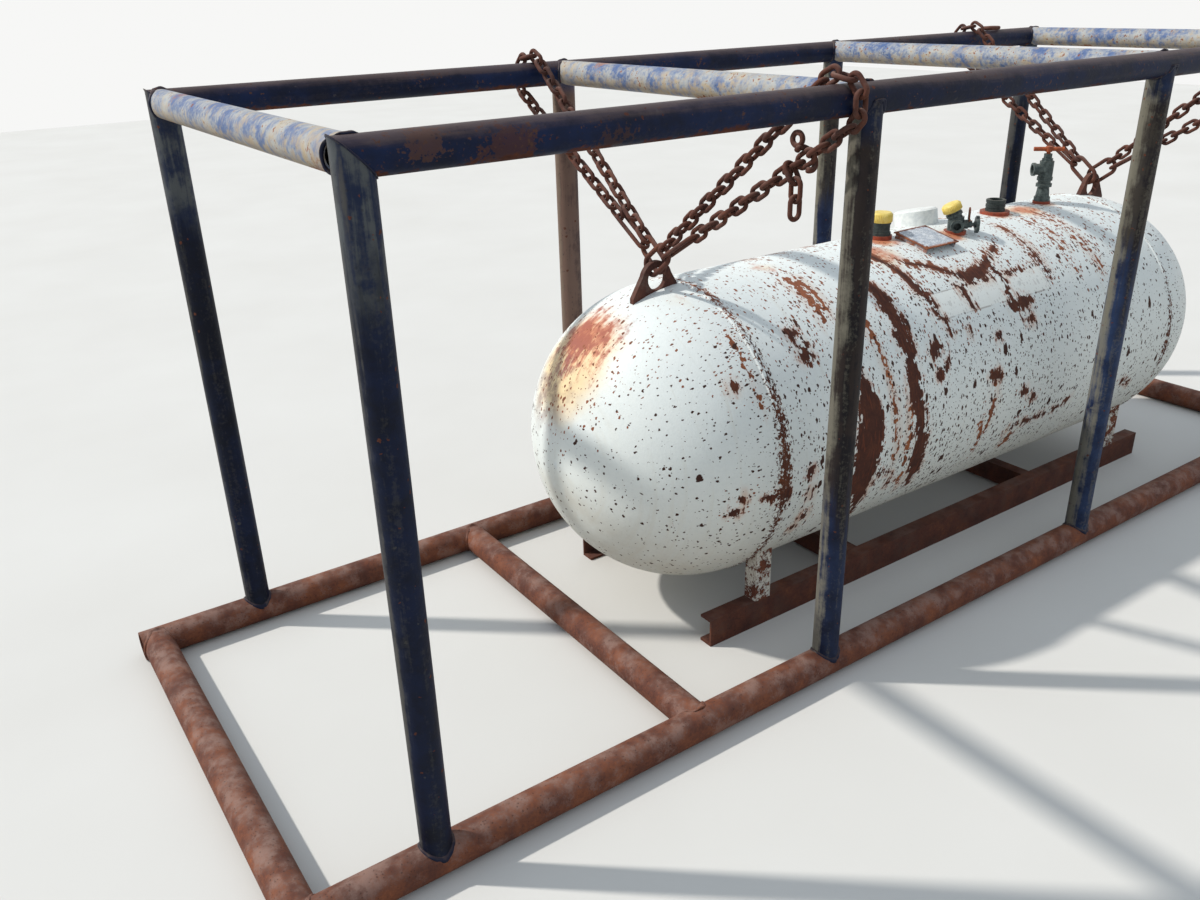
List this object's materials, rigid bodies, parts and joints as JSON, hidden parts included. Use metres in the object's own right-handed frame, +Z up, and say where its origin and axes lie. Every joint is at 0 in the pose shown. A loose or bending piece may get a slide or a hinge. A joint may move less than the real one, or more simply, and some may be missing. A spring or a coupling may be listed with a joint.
{
  "type": "horizontal pressure tank in a pipe cage",
  "caption": "Horizontal gas storage tank with round ends, lifting lugs and top valves, on a channel skid, slung by chains inside a welded pipe cage",
  "frame": {"origin": "the middle of the cage's footprint, on the floor", "axes": "X runs along the tank, with the tank set towards +X; -Y is the front, where the picture was taken from; Z is up"},
  "size_m": [3.639, 1.173, 1.3683],
  "materials": {
    "tank_paint": "chalky white paint with rust",
    "lug_steel": "worn dark grey paint",
    "boss_red": "red oxide primer",
    "plate_metal": "dull grey plate with rusty rim",
    "dark_fitting": "dark weathered steel",
    "cap_yellow": "faded yellow",
    "valve_grey": "dull green grey",
    "handle_orange": "orange rust",
    "leg_paint": "flaking white paint",
    "rust_steel": "bare rusty steel",
    "post_paint": "worn blue grey paint",
    "rail_paint": "navy paint, rusty on top",
    "cross_paint": "chalky pale blue paint",
    "chain_rust": "rusty steel"
  },
  "bodies": {
    "frame": {"tank_shell": "tank_paint", "tank_head_near": "tank_paint", "tank_head_far": "tank_paint", "lifting_lug_near": "lug_steel", "lifting_lug_far": "lug_steel", "fitting_bosses": "boss_red", "data_plate": "plate_metal", "gauge_cover": "tank_paint", "fill_riser": "dark_fitting", "fill_cap": "cap_yellow", "service_valve_body": "valve_grey", "service_valve_cap": "cap_yellow", "service_valve_tag": "rust_steel", "open_coupling": "dark_fitting", "tall_valve_body": "valve_grey", "tank_legs": "leg_paint", "skid_runner_front": "rust_steel", "skid_runner_back": "rust_steel", "skid_cross_members": "rust_steel", "post_front_1": "post_paint", "post_front_2": "post_paint", "post_front_3": "post_paint", "post_front_4": "post_paint", "post_back_1": "post_paint", "post_back_2": "post_paint", "post_back_3": "post_paint", "post_back_4": "post_paint", "top_rail_front": "rail_paint", "top_rail_back": "rail_paint", "top_cross_1": "cross_paint", "top_cross_2": "cross_paint", "top_cross_3": "cross_paint", "top_cross_4": "cross_paint", "base_rail_front": "rust_steel", "base_rail_back": "rust_steel", "base_cross_pipes": "rust_steel", "chain_near_front": "chain_rust", "chain_near_back": "chain_rust", "chain_far_front": "chain_rust", "chain_far_back": "chain_rust", "chain_rings": "chain_rust"},
    "service_handwheel": {"service_valve_handwheel": "valve_grey"},
    "tall_handle": {"tall_valve_handle": "handle_orange"}
  },
  "joints": [
    {"name": "service_handwheel_turn", "type": "hinge", "parent": "frame", "child": "service_handwheel", "pos_m": [0.42, -0.065, 0.866], "axis": [0.7071, -0.7071, 0], "range_deg": [0, 720]},
    {"name": "tall_handle_turn", "type": "hinge", "parent": "frame", "child": "tall_handle", "pos_m": [0.925, 0, 0.955], "axis": [0, 0, 1], "range_deg": [0, 720]}
  ]
}
